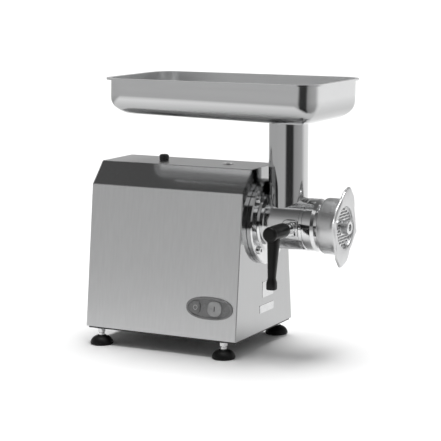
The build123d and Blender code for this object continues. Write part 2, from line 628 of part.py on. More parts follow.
def build_gearbox():
    wall = BOX_FRONT - 16.5
    body = prism(box_section(BOX_HALF), BOX_REAR, BOX_FRONT)
    body += x_rod(72.0, BOX_FRONT - 7, BOX_FRONT)
    body -= prism(box_section(BOX_HALF - BOX_WALL), BOX_REAR, wall)
    body -= x_rod(27.5, wall, BOX_FRONT)
    body -= x_rod(16.0, wall, wall + 9, 0, LAYSHAFT_Z)
    for y, z in flange_corners():
        body -= x_rod(4.1, BOX_FRONT - 15, BOX_FRONT, y, z)
    cover = prism(box_section(BOX_HALF), BOX_REAR - COVER_T, BOX_REAR)
    cover += x_rod(27.0, BOX_REAR, BOX_REAR + 12)
    cover += x_rod(21.0, BOX_REAR, BOX_REAR + 12, 0, LAYSHAFT_Z)
    cover -= x_rod(21.0, BOX_REAR, BOX_REAR + 12)
    cover -= x_rod(16.0, BOX_REAR + 3, BOX_REAR + 12, 0, LAYSHAFT_Z)
    cover -= x_rod(17.0, BOX_REAR - COVER_T, BOX_REAR, 0, MOTOR_Z)
    screws = []
    for y, z in cover_screw_places():
        body -= x_rod(1.6, BOX_REAR, BOX_REAR + 12, y, z)
        cover -= x_rod(1.6, BOX_REAR - COVER_T, BOX_REAR, y, z)
        screws.append(socket_screw((BOX_REAR - COVER_T, y, z), (-1, 0, 0), 1.5, 16.0, 2.6, 2.2))
    save("gearbox_housing", body)
    save("gearbox_cover", cover)
    save("gearbox_screws", group(screws))
    bearings = [
        x_tube(27.4, 15 + RUN, wall + 0.5, wall + 13.5),
        x_tube(20.9, 10 + RUN, BOX_REAR, BOX_REAR + 12),
        x_tube(15.9, 7.5 + RUN, wall + 0.2, wall + 9, 0, LAYSHAFT_Z),
        x_tube(15.9, 7.5 + RUN, BOX_REAR + 3, BOX_REAR + 12, 0, LAYSHAFT_Z),
        x_tube(17.4, 7.5 + RUN, -24, -13, 0, MOTOR_Z),
        x_tube(15.9, 7.5 + RUN, MOTOR_REAR + 4, MOTOR_REAR + 13, 0, MOTOR_Z),
    ]
    save("ball_bearings", group(bearings))


def build_shafts():
    wall = BOX_FRONT - 16.5
    shaft = turned([
        (BOX_REAR + 0.5, 0),
        (BOX_REAR + 0.5, 10),
        (STAGE_2[0] - 2, 10),
        (STAGE_2[0] - 2, 15),
        (wall + 14, 15),
        (wall + 14, 16),
        (BARREL_REAR - 1.5, 16),
        (BARREL_REAR - 1.5, 0),
    ])
    shaft -= prism(Rectangle(TANG + 2 * LOOSE, TANG + 2 * LOOSE), FRONT_X + 3, BARREL_REAR, HEAD_Z)
    save("drive_shaft", shaft)
    save("output_gear", involute_gear(OUTPUT_TEETH, MODULE_2, STAGE_2, HEAD_Z, 270, 15))
    pinion_angle = 90 + 180 / PINION_TEETH
    layshaft = x_rod(7.5, BOX_REAR + 3.5, wall + 8.5, 0, LAYSHAFT_Z)
    layshaft += involute_gear(PINION_TEETH, MODULE_2, STAGE_2, LAYSHAFT_Z, pinion_angle, 7.0)
    save("layshaft", layshaft)
    save("layshaft_wheel", involute_gear(WHEEL_TEETH, MODULE_1, STAGE_1, LAYSHAFT_Z, 270, 7.5))
    motor_angle = 90 + 180 / MOTOR_TEETH
    motor_shaft = x_rod(7.5, MOTOR_REAR - 28, STAGE_1[1], 0, MOTOR_Z)
    motor_shaft += involute_gear(MOTOR_TEETH, MODULE_1, STAGE_1, MOTOR_Z, motor_angle, 7.0)
    save("motor_shaft", motor_shaft)


def build_motor():
    save("rotor_core", x_tube(ROTOR_R, 7.5, STATOR[0], STATOR[1], 0, MOTOR_Z))
    save("stator_core", x_tube(STATOR_R, ROTOR_R + 0.6, STATOR[0], STATOR[1], 0, MOTOR_Z))
    coils = []
    for x_start, x_end in ((STATOR[0] - 16, STATOR[0]), (STATOR[1], STATOR[1] + 4.5)):
        coil = x_tube(56, 36, x_start, x_end, 0, MOTOR_Z)
        coils.append(fillet(coil.edges().group_by(Axis.X)[0 if x_start < STATOR[0] else -1], 2.0))
    save("stator_windings", group(coils))
    front = turned(
        [
            (-27, 9),
            (-27, SHIELD_R - 7),
            (STATOR[1], SHIELD_R - 7),
            (STATOR[1], SHIELD_R),
            (-16, SHIELD_R),
            (-11.5, SHIELD_R - 6),
            (-11.5, 28),
            (BOX_REAR - COVER_T, 28),
            (BOX_REAR - COVER_T, 9),
        ],
        MOTOR_Z,
    )
    front -= x_rod(17.5, -24.5, -12.5, 0, MOTOR_Z)
    rear = turned(
        [
            (MOTOR_REAR, 9),
            (MOTOR_REAR, SHIELD_R - 8),
            (MOTOR_REAR + 5, SHIELD_R),
            (STATOR[0], SHIELD_R),
            (STATOR[0], SHIELD_R - 7),
            (STATOR[0] - 17, SHIELD_R - 7),
            (STATOR[0] - 17, 20),
            (MOTOR_REAR + 13.5, 20),
            (MOTOR_REAR + 13.5, 9),
        ],
        MOTOR_Z,
    )
    rear -= x_rod(16.0, MOTOR_REAR + 4, MOTOR_REAR + 14, 0, MOTOR_Z)
    rods = []
    for quarter in range(4):
        angle = radians(45 + 90 * quarter)
        y, z = (SHIELD_R - 4) * cos(angle), MOTOR_Z + (SHIELD_R - 4) * sin(angle)
        front -= x_rod(2.1, -40, -8, y, z)
        rear -= x_rod(2.1, MOTOR_REAR, STATOR[0] + 1, y, z)
        rods.append(x_rod(2.0, MOTOR_REAR + 1.5, -13, y, z))
    save("motor_front_shield", front)
    save("motor_rear_shield", rear)
    save("motor_tie_rods", group(rods))

    blades = Circle(13)
    for number in range(9):
        blades += Rot(0, 0, 40 * number) * Pos(34, 0) * Rectangle(44, 2.4)
    fan = prism(blades, MOTOR_REAR - 26, MOTOR_REAR - 10, MOTOR_Z)
    fan += x_rod(56, MOTOR_REAR - 10, MOTOR_REAR - 7.5, 0, MOTOR_Z)
    save("cooling_fan", fan - x_rod(7.5, MOTOR_REAR - 30, MOTOR_REAR, 0, MOTOR_Z))

    cradle = block(MOTOR_REAR - 4, -6, -56, 56, BASE_Z, BASE_Z + 3)
    for x in (-24, MOTOR_REAR + 8):
        cradle += block(x, x + 5, -52, 52, BASE_Z + 3, BASE_Z + 45)
    save("motor_cradle", cradle - x_rod(SHIELD_R, MOTOR_REAR - 10, 0, 0, MOTOR_Z))

    can_z, can_r = MOTOR_Z + STATOR_R + 34, 20.0
    can = x_rod(can_r, -112, -36, 0, can_z)
    can = fillet(can.edges(), 2.0)
    posts = x_rod(2.0, -36, -28, 8, can_z) + x_rod(2.0, -36, -28, -8, can_z)
    save("run_capacitor", can + posts)
    strap = x_tube(can_r + 2, can_r, -86, -66, 0, can_z)
    foot = block(-86, -66, -14, 14, MOTOR_Z + STATOR_R - 4, can_z - can_r)
    strap += foot - x_rod(STATOR_R, -120, 0, 0, MOTOR_Z) - x_rod(can_r, -120, 0, 0, can_z)
    save("capacitor_strap", strap)
    terminal = block(-200, -180, -75, -25, BASE_Z, BASE_Z + 16)
    for number in range(5):
        terminal -= z_rod(2.6, BASE_Z + 8, BASE_Z + 16, -190, -70 + 10 * number)
    save("terminal_block", terminal)


os.makedirs("parts", exist_ok=True)
build_housing()
build_feet()
build_head()
build_barrel()
build_worm()
build_plate()
build_ring_nut()
build_lever()
build_tray()
build_switch()
build_labels()
build_gland()
build_gearbox()
build_shafts()
build_motor()
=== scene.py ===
import json
import math

import bpy
from mathutils import Matrix, Vector


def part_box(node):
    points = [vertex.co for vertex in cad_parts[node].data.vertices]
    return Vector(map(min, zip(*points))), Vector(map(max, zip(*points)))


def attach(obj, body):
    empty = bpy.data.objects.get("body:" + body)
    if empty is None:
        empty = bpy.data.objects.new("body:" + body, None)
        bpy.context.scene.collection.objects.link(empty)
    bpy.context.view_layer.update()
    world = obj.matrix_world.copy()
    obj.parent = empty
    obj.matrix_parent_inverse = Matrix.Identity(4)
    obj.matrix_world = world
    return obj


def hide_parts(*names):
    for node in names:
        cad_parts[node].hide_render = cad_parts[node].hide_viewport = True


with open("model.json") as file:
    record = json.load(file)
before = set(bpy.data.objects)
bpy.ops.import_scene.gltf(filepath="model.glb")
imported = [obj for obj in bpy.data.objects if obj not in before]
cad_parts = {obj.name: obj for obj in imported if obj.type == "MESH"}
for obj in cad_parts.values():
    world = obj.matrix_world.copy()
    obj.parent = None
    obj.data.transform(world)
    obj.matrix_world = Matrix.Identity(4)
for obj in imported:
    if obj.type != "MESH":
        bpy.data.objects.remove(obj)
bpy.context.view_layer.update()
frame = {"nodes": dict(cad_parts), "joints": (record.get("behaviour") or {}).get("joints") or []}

# ---- Places read from the frame ----
PANEL_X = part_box("front_panel")[1].x
NUT_LOW, NUT_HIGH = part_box("ring_nut")
HEAD_Z = (NUT_LOW.z + NUT_HIGH.z) / 2
JOINTS = {joint["name"]: joint for joint in frame["joints"]}
LEVER_X = JOINTS["clamp_lever_turn"]["pos_m"][0]
LEVER_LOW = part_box("lever_handle")[0]
WASHER_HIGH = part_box("lever_washer")[1]
BEZEL_LOW, BEZEL_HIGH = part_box("switch_bezel")
WRAP_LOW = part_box("housing_wrap")[0]
TRAY_LOW, TRAY_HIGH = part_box("feed_tray")

# ---- Sizes in metres ----
PAN_FLOOR = TRAY_HIGH.z - 0.070  # underside of the tray's pan at the spout
BEND_Z = 0.2860                  # bend between the leaning side and the chamfer
BEND_HALF = 0.0875               # half the housing's width at that bend
CHAMFER_TOP = 0.3240
NUT_R = 0.0490                   # ring nut
NUT_BORE_R = 0.0438
OUTLET_R = 0.0360
LIP_T = 0.0050
EAR_TILT = math.radians(16)
EAR_REACH = 0.0705
EAR_SIDES = ((0.06055, 32.1), (0.0469, 61.0))  # distance and bearing of the lines along each ear
EAR_FOOT_R = 0.0485
HUB_R = 0.0130                   # clamp lever
HUB_END = -0.0690
HUB_FACE_R = 0.0088
HUB_ROUND = 0.0050
ARM_TOP_Y, ARM_LEAN = -0.1145, 0.0075
ARM_ROOT, ARM_NECK, ARM_SWELL = (0.0215, 0.0205), (0.0135, 0.0125), 0.0040
COLLAR_BEADS = (                 # start and end along Y, foot radius, swell
    (WASHER_HIGH.y, -0.0535, 0.0078, 0.0014),
    (-0.0537, -0.0700, 0.0086, 0.0012),
)
PAD_LEFT, PAD_RIGHT = LEVER_X - 0.0165, LEVER_X + 0.0122
PAD_TOP, PAD_LOW = HEAD_Z + 0.0140, HEAD_Z - 0.0150
PAD_ARCH, PAD_ROUND = 0.0110, 0.0040
KNOB_STEPS, KNOB_RIBS = 144, 24
KNOB_PROFILE = (                 # share of the height, share of the radius, depth of the ribs
    (0.00, 0.80, 0.00), (0.10, 0.82, 0.00), (0.14, 0.90, 0.02), (0.30, 0.93, 0.04),
    (0.60, 0.98, 0.04), (0.72, 1.00, 0.03), (0.80, 0.99, 0.00), (0.88, 0.94, 0.00),
    (0.94, 0.84, 0.00), (0.98, 0.68, 0.00), (1.00, 0.40, 0.00), (1.00, 0.10, 0.00),
)
SWITCH_L, SWITCH_H = 0.0900, 0.0400
STOP_X, START_X = -0.0260, 0.0110

# ---- Studio: tones by azimuth in degrees, 0 at the -Y side and 90 at the +X side ----
FLOOR_HALF = 45.0
FLOOR = 0.92
FLOOR_AROUND = (
    (-180, 1.0), (-138, 1.0), (-120, 0.45), (6, 0.5), (16, 0.02), (50, 0.02),
    (60, 0.35), (105, 0.45), (130, 0.95),
)
AROUND = ((-180, 0.6), (8, 0.6), (20, 0.05), (60, 0.05), (74, 0.6), (180, 0.6))
HEIGHT = ((0.0, 1.0), (0.25, 0.95), (0.55, 0.4), (0.8, 0.18), (1.0, 0.15))
SUNS = (                         # name, azimuth, elevation, strength, width
    ("key_light", 176, 84, 3.2, 36),
    ("fill_light", 60, 55, 0.3, 40),
)
CAMERA_AZIMUTH, CAMERA_ELEVATION = 26.97, 8.98
CAMERA_LENS, CAMERA_DISTANCE = 132.14, 2.84873
CAMERA_AIM_Z, CAMERA_LEFT, CAMERA_DOWN = 0.25, 0.07827, 0.02145


# ---- Node material helpers ----
class Nodes:
    """A new material and short ways to add nodes to it."""

    def __init__(self, name):
        self.material = bpy.data.materials.new(name)
        self.material.use_nodes = True
        self.tree = self.material.node_tree
        self.shader = self.tree.nodes["Principled BSDF"]
        self.place = self.add("ShaderNodeTexCoord").outputs["Object"]

    def add(self, kind, **values):
        node = self.tree.nodes.new(kind)
        for key, value in values.items():
            setattr(node, key, value)
        return node

    def link(self, source, target):
        self.tree.links.new(source, target)

    def set(self, **values):
        for key, value in values.items():
            self.shader.inputs[key.replace("_", " ")].default_value = value

    def stretched(self, scale):
        """Object coordinates stretched by a scale for each axis."""
        mapping = self.add("ShaderNodeMapping")
        mapping.inputs["Scale"].default_value = scale
        self.link(self.place, mapping.inputs["Vector"])
        return mapping.outputs["Vector"]

    def noise(self, scale, size=1.0, detail=4.0, rough=0.55):
        """Noise over stretched coordinates, between 0 and 1."""
        texture = self.add("ShaderNodeTexNoise")
        texture.inputs["Scale"].default_value = size
        texture.inputs["Detail"].default_value = detail
        texture.inputs["Roughness"].default_value = rough
        self.link(self.stretched(scale), texture.inputs["Vector"])
        return texture.outputs["Fac"]

    def spread(self, value, low, high, start=0.3, end=0.7):
        """Map a value from start..end to low..high."""
        node = self.add("ShaderNodeMapRange")
        node.inputs["From Min"].default_value = start
        node.inputs["From Max"].default_value = end
        node.inputs["To Min"].default_value = low
        node.inputs["To Max"].default_value = high
        self.link(value, node.inputs["Value"])
        return node.outputs["Result"]

    def math(self, operation, first, second):
        node = self.add("ShaderNodeMath", operation=operation)
        for slot, value in enumerate((first, second)):
            if isinstance(value, (int, float)):
                node.inputs[slot].default_value = value
            else:
                self.link(value, node.inputs[slot])
        return node.outputs["Value"]

    def mix(self, factor, first, second):
        """Mix two numbers or sockets by a factor."""
        node = self.add("ShaderNodeMix", data_type="FLOAT")
        self.link(factor, node.inputs["Factor"])
        for key, value in (("A", first), ("B", second)):
            if isinstance(value, (int, float)):
                node.inputs[key].default_value = value
            else:
                self.link(value, node.inputs[key])
        return node.outputs["Result"]

    def colour(self, value, dark, light):
        """Mix two colours by a value."""
        node = self.add("ShaderNodeMix", data_type="RGBA")
        node.inputs["A"].default_value = (*dark, 1)
        node.inputs["B"].default_value = (*light, 1)
        self.link(value, node.inputs["Factor"])
        return node.outputs["Result"]

    def bump(self, height, distance):
        node = self.add("ShaderNodeBump")
        node.inputs["Distance"].default_value = distance
        self.link(height, node.inputs["Height"])
        return node.outputs["Normal"]

    def axis(self, name):
        """One object coordinate, in metres."""
        parts = self.add("ShaderNodeSeparateXYZ")
        self.link(self.place, parts.inputs["Vector"])
        return parts.outputs[name]


def grey(value, tint=1.01):
    """A near neutral grey."""
    return (value, value * (tint + 1) / 2, value * tint)


def steel(name, tone, rough, grain, depth, spread=0.05):
    """Stainless steel with grain lines stretched by a scale for each axis."""
    nodes = Nodes(name)
    nodes.set(Metallic=1.0)
    lines = nodes.noise(grain, 1.0, 5.0, 0.6)
    clouds = nodes.noise((9, 9, 9), 1.0, 3.0)
    tones = nodes.colour(nodes.spread(lines, 0, 1), grey(tone * 0.96), grey(tone * 1.02))
    nodes.link(tones, nodes.shader.inputs["Base Color"])
    wear = nodes.spread(clouds, rough - spread / 2, rough + spread / 2)
    mixed = nodes.math("ADD", nodes.spread(lines, -spread, spread), wear)
    nodes.link(mixed, nodes.shader.inputs["Roughness"])
    nodes.link(nodes.bump(lines, depth), nodes.shader.inputs["Normal"])
    return nodes


def wrap_steel():
    """Folded housing sheet: satin sides with upright grain, bright chamfers, satin top."""
    nodes = steel("housing_sheet", 0.58, 0.32, (260, 260, 1.5), 0.00000002, 0.02)
    height = nodes.axis("Z")
    above = nodes.math("GREATER_THAN", height, BEND_Z + 0.0008)
    chamfer = nodes.math("MULTIPLY", above, nodes.math("LESS_THAN", height, CHAMFER_TOP))
    satin = nodes.shader.inputs["Roughness"].links[0].from_socket
    nodes.link(nodes.mix(chamfer, satin, 0.10), nodes.shader.inputs["Roughness"])
    return nodes.material


def tray_steel():
    """Pressed tray sheet: bright outside with painted shade low on it, and a coarser satin finish inside."""
    nodes = steel("tray_sheet", 0.64, 0.17, (2, 160, 160), 0.0000003, 0.02)
    lean = nodes.add("ShaderNodeVectorMath", operation="DOT_PRODUCT")
    place = nodes.add("ShaderNodeVectorMath", operation="SUBTRACT")
    place.inputs[1].default_value = (TRAY_LOW + TRAY_HIGH) / 2
    nodes.link(nodes.place, place.inputs[0])
    nodes.link(place.outputs["Vector"], lean.inputs[0])
    nodes.link(nodes.add("ShaderNodeTexCoord").outputs["Normal"], lean.inputs[1])
    inside = nodes.math("LESS_THAN", lean.outputs["Value"], 0.0)
    bright = nodes.shader.inputs["Roughness"].links[0].from_socket
    nodes.link(nodes.mix(inside, bright, 0.42), nodes.shader.inputs["Roughness"])
    unshaded_tones = nodes.shader.inputs["Base Color"].links[0].from_socket
    # Painted shade: the tray's outside is darkened to 0.62 of its tone in a band just above the pan floor, at
    # its lower bend. It fades to 0.95 below that band and back to full tone above it. The inside is left
    # unshaded.
    level = nodes.axis("Z")
    shade_band_low = nodes.spread(level, 0.95, 0.62, PAN_FLOOR, PAN_FLOOR + 0.008)
    above = nodes.spread(level, 0.62, 1.0, PAN_FLOOR + 0.020, PAN_FLOOR + 0.042)
    height = nodes.math("MAXIMUM", shade_band_low, above)
    shade = nodes.add("ShaderNodeMix", data_type="RGBA", blend_type="MULTIPLY")
    shade.inputs["Factor"].default_value = 1.0
    nodes.link(unshaded_tones, shade.inputs["A"])
    nodes.link(nodes.mix(inside, height, 1.0), shade.inputs["B"])
    nodes.link(shade.outputs["Result"], nodes.shader.inputs["Base Color"])
    return nodes.material


def moulded(name, tone, rough, grain=0.00003, coat=0.0, specular=0.35):
    """Moulded plastic or rubber with a fine grain and handling marks."""
    nodes = Nodes(name)
    fine = nodes.noise((1, 1, 1), 2600.0, 3.0)
    marks = nodes.noise((1, 1, 1), 60.0, 5.0)
    tones = nodes.colour(nodes.spread(marks, 0, 1), grey(tone * 0.85), grey(tone * 1.15))
    nodes.link(tones, nodes.shader.inputs["Base Color"])
    nodes.link(nodes.spread(marks, rough - 0.07, rough + 0.07), nodes.shader.inputs["Roughness"])
    nodes.link(nodes.bump(fine, grain), nodes.shader.inputs["Normal"])
    nodes.set(Coat_Weight=coat, Specular_IOR_Level=specular)
    return nodes.material


def cast(name, tone, rough, metallic=1.0, depth=0.00012, colour=None):
    """Cast or painted metal with a slightly pebbled skin."""
    nodes = Nodes(name)
    nodes.set(Metallic=metallic)
    pebbles = nodes.noise((1, 1, 1), 700.0, 4.0)
    clouds = nodes.noise((1, 1, 1), 40.0, 4.0)
    light = colour or grey(tone)
    dark = tuple(channel * 0.82 for channel in light)
    nodes.link(nodes.colour(nodes.spread(clouds, 0, 1), dark, light), nodes.shader.inputs["Base Color"])
    nodes.link(nodes.spread(clouds, rough - 0.08, rough + 0.08), nodes.shader.inputs["Roughness"])
    nodes.link(nodes.bump(pebbles, depth), nodes.shader.inputs["Normal"])
    return nodes.material


def turned_steel(name, tone, rough, depth=0.000004):
    """Lathe-turned or laminated metal with fine rings along X."""
    return steel(name, tone, rough, (2400, 30, 30), depth).material


MATERIALS = {
    "wrap": wrap_steel(),
    "panel": steel("front_sheet", 0.42, 0.10, (260, 260, 2), 0.0000002, 0.02).material,
    "rear": steel("rear_sheet", 0.62, 0.32, (260, 260, 1.5), 0.0000006).material,
    "tray": tray_steel(),
    "tube": steel("tube_steel", 0.58, 0.11, (300, 300, 4), 0.0000003, 0.02).material,
    "polished": turned_steel("polished_steel", 0.68, 0.10, 0.000001),
    "nut": steel("ring_nut_steel", 0.62, 0.34, (300, 300, 300), 0.000002).material,
    "machined": turned_steel("machined_steel", 0.66, 0.22),
    "plate": turned_steel("plate_steel", 0.72, 0.34),
    "worm": cast("worm_steel", 0.6, 0.32),
    "black_sheet": cast("black_painted_sheet", 0.012, 0.5, 0.0, 0.00008),
    "black_plastic": moulded("lever_plastic", 0.004, 0.36, 0.00004, 0.0, 0.22),
    "knob": moulded("knob_plastic", 0.06, 0.42, 0.00003),
    "rubber": moulded("foot_rubber", 0.005, 0.5, 0.00004, 0.0, 0.2),
    "bezel": moulded("switch_bezel", 0.20, 0.3, 0.00001, 0.3),
    "stop": moulded("stop_button", 0.17, 0.28, 0.00001, 0.3),
    "start": moulded("start_button", 0.34, 0.28, 0.00001, 0.3),
    "sign": moulded("button_sign", 0.55, 0.4, 0.00001),
    "sign_dark": moulded("button_sign_dark", 0.05, 0.4, 0.00001),
    "contact": moulded("contact_plastic", 0.03, 0.5),
    "nylon": moulded("nylon", 0.8, 0.4),
    "label": cast("label_plate", 0.66, 0.16, 1.0, 0.00001),
    "gear": turned_steel("gear_steel", 0.5, 0.3),
    "alloy": cast("cast_alloy", 0.55, 0.42),
    "iron": turned_steel("laminated_iron", 0.3, 0.45, 0.00003),
    "copper": cast("winding_copper", 0.5, 0.35, 1.0, 0.0002, (0.62, 0.27, 0.12)),
    "can": turned_steel("capacitor_can", 0.7, 0.25),
}
CAD_LOOKS = {
    "wrap": ("housing_wrap",),
    "panel": ("front_panel",),
    "rear": ("rear_panel",),
    "tray": ("feed_tray",),
    "tube": ("feed_tube",),
    "polished": ("head_flange", "barrel", "filler_plug", "lever_washer"),
    "nut": ("ring_nut",),
    "machined": (
        "knife", "worm_stud", "plate_key", "lever_stud", "foot_lock_nuts", "flange_screws",
        "rear_panel_screws", "base_screws", "gearbox_screws", "motor_tie_rods", "ball_bearings",
        "foot_stud_1", "foot_stud_2", "foot_stud_3", "foot_stud_4",
    ),
    "plate": ("perforated_plate",),
    "worm": ("worm",),
    "black_sheet": ("base_plate", "motor_cradle", "capacitor_strap"),
    "black_plastic": ("lever_handle",),
    "knob": ("breather_cap", "cord_gland", "gland_nut"),
    "rubber": ("foot_pad_1", "foot_pad_2", "foot_pad_3", "foot_pad_4", "oil_seal"),
    "bezel": ("switch_bezel",),
    "stop": ("stop_button",),
    "start": ("start_button",),
    "contact": ("contact_block", "terminal_block"),
    "nylon": ("thrust_washer",),
    "label": ("blank_label_plates",),
    "gear": ("output_gear", "layshaft", "layshaft_wheel", "motor_shaft", "drive_shaft"),
    "alloy": ("gearbox_housing", "gearbox_cover", "motor_front_shield", "motor_rear_shield", "cooling_fan"),
    "iron": ("stator_core", "rotor_core"),
    "copper": ("stator_windings",),
    "can": ("run_capacitor",),
}
for look, names in CAD_LOOKS.items():
    for name in names:
        slots = frame["nodes"][name].data.materials
        slots.clear()
        slots.append(MATERIALS[look])


# ---- Mesh helpers ----
def skin(name, rings, look, body, nodes=(), wrap=False, sharp=38):
    """Closed skin over equal rings of points: capped at both ends, or wrapped round to its start."""
    count = len(rings[0])
    verts = [point for ring in rings for point in ring]
    faces = []
    for row in range(len(rings) - (0 if wrap else 1)):
        here, after = row * count, (row + 1) % len(rings) * count
        for step in range(count):
            turn = (step + 1) % count
            faces.append((here + step, here + turn, after + turn, after + step))
    if not wrap:
        faces.append(tuple(reversed(range(count))))
        faces.append(tuple(range(len(verts) - count, len(verts))))
    mesh = bpy.data.meshes.new(name)
    mesh.from_pydata(verts, [], faces)
    mesh.validate()
    mesh.shade_smooth()
    mesh.set_sharp_from_angle(angle=math.radians(sharp))
    mesh.materials.append(MATERIALS[look])
    piece = bpy.data.objects.new(name, mesh)
    bpy.context.scene.collection.objects.link(piece)
    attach(piece, body)
    if nodes:
        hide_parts(*nodes)


def smoothstep(value):
    value = min(1.0, max(0.0, value))
    return value * value * (3 - 2 * value)


# ---- Ring nut ----
def ear_reach(angle):
    """Radius of the ring nut's face outline, at an angle from the tip of an ear."""
    angle = abs((angle + math.pi / 2) % math.pi - math.pi / 2)
    lines = [reach / max(0.2, math.cos(angle - math.radians(bearing))) for reach, bearing in EAR_SIDES]
    convex, hollow = 1600.0, 800.0
    ear = -math.log(sum(math.exp(-convex * reach) for reach in (*lines, EAR_REACH))) / convex
    return math.log(math.exp(hollow * ear) + math.exp(hollow * EAR_FOOT_R)) / hollow


def build_ring_nut():
    """Ring nut that flares from a round body into a face with two ears."""
    rear, face = NUT_LOW.x, NUT_HIGH.x
    waist, flare, steps = face - 0.013, face - 0.0042, 180
    rings = []

    def ring(x, reach):
        points = []
        for step in range(steps):
            angle = 2 * math.pi * step / steps
            radius = reach(ear_reach(angle))
            turn = angle - EAR_TILT
            points.append((x, -radius * math.sin(turn), HEAD_Z + radius * math.cos(turn)))
        rings.append(points)

    def ear(radius):
        return smoothstep((radius - 0.0488) / 0.006)

    for x, radius in ((rear, NUT_BORE_R), (rear, 0.0460), (rear + 0.0006, 0.0474), (rear + 0.0018, 0.0486)):
        ring(x, lambda _, r=radius: r)
    for x in (rear + 0.0032, rear + 0.010, waist - 0.006, waist):
        ring(x, lambda _: NUT_R)
    for step in range(1, 9):
        along = step / 8
        ring(waist + (flare - waist) * along, lambda r, a=along: NUT_R + (r - NUT_R) * a ** 2.4)
    for step in range(1, 9):
        turn = math.pi / 2 * step / 8
        lean = 1 - math.cos(turn)
        ring(
            flare + (face - flare) * math.sin(turn),
            lambda r, a=lean: r - a * (0.0014 + 0.0046 * (1 - ear(r))),
        )
    ring(face, lambda _: 0.0378)
    for x, radius in ((face - 0.0002, 0.0374), (face - 0.0012, 0.0363), (face - 0.0018, OUTLET_R)):
        ring(x, lambda _, r=radius: r)
    ring(face - LIP_T, lambda _: OUTLET_R)
    ring(face - LIP_T, lambda _: NUT_BORE_R)
    skin("ring_nut_skin", rings, "nut", "ring_nut", ("ring_nut",), True, 32)


# ---- Clamp lever ----
def section(centre, across, depth, power, steps=48):
    """Super-ellipse ring in a plane of constant Z."""
    points = []
    for step in range(steps):
        angle = 2 * math.pi * step / steps
        c, s = math.cos(angle), math.sin(angle)
        x = math.copysign(abs(c) ** (2 / power), c) * across / 2
        y = math.copysign(abs(s) ** (2 / power), s) * depth / 2
        points.append(Vector((centre[0] + x, centre[1] + y, centre[2])))
    return points


def facet_ring(y, radius, roundness, sides=8, steps=96):
    """Ring about the lever's axis: a polygon with rounded corners."""
    points = []
    for step in range(steps):
        angle = 2 * math.pi * step / steps
        off = (angle + math.pi / sides) % (2 * math.pi / sides) - math.pi / sides
        flat = math.cos(math.pi / sides) / math.cos(off)
        reach = radius * (roundness + (1 - roundness) * flat / math.cos(math.pi / sides) * 0.985)
        reach = min(reach, radius)
        points.append((LEVER_X + reach * math.sin(angle), y, HEAD_Z + reach * math.cos(angle)))
    return points


def build_lever():
    """Hub with a faceted face, and the arm that hangs from it and swells at its tip."""
    outer, inner = LEVER_LOW.y, HUB_END
    rings = []
    for step in range(9):
        turn = math.pi / 2 * step / 8
        radius = HUB_FACE_R + (HUB_R - HUB_FACE_R) * math.sin(turn)
        rings.append(facet_ring(outer + HUB_ROUND * (1 - math.cos(turn)), radius, 0.35))
    rings += [
        facet_ring(outer + 0.0085, HUB_R, 0.3),
        facet_ring(outer + 0.0092, HUB_R - 0.0007, 0.2),
        facet_ring(outer + 0.0100, HUB_R - 0.0006, 0.0),
        facet_ring(outer + 0.0220, HUB_R, 0.0),
        facet_ring(outer + 0.0500, HUB_R - 0.0002, 0.0),
        facet_ring(inner - 0.0080, HUB_R - 0.0006, 0.0),
        facet_ring(inner - 0.0035, HUB_R - 0.0022, 0.0),
        facet_ring(inner - 0.0008, 0.0100, 0.0),
        facet_ring(inner, 0.0086, 0.0),
    ]
    skin("lever_hub", rings, "black_plastic", "clamp_lever", ("lever_handle",), False, 18)
    top, low = HEAD_Z - 0.004, LEVER_LOW.z
    length = top - low
    arm = []
    for part in range(25):
        along = part / 24
        if along < 0.80:
            blend = (along / 0.80) ** 0.9
            across, depth = (root + (neck - root) * blend for root, neck in zip(ARM_ROOT, ARM_NECK))
        else:
            swell = ARM_SWELL * smoothstep((along - 0.80) / 0.10)
            across, depth = (neck + swell for neck in ARM_NECK)
        y = ARM_TOP_Y - ARM_LEAN * min(1.0, along / 0.85)
        arm.append(section((LEVER_X, y, top - (length - 0.002) * along), across, depth, 2.9))
    for step in range(1, 5):
        turn = math.pi / 2 * step / 4
        shrink = 1 - 0.22 * (1 - math.cos(turn))
        across, depth = ((neck + ARM_SWELL) * shrink for neck in ARM_NECK)
        z = low + 0.002 * (1 - math.sin(turn))
        arm.append(section((LEVER_X, ARM_TOP_Y - ARM_LEAN, z), across, depth, 2.9))
    skin("lever_arm", arm, "black_plastic", "clamp_lever", (), False, 30)


def bead(name, profile, look, body, nodes=(), steps=72):
    """Solid of revolution about the lever's axis, from (y, radius) pairs."""
    turns = [2 * math.pi * step / steps for step in range(steps)]
    rings = [
        [(LEVER_X + radius * math.sin(turn), y, HEAD_Z + radius * math.cos(turn)) for turn in turns]
        for y, radius in profile
    ]
    skin(name, rings, look, body, nodes)


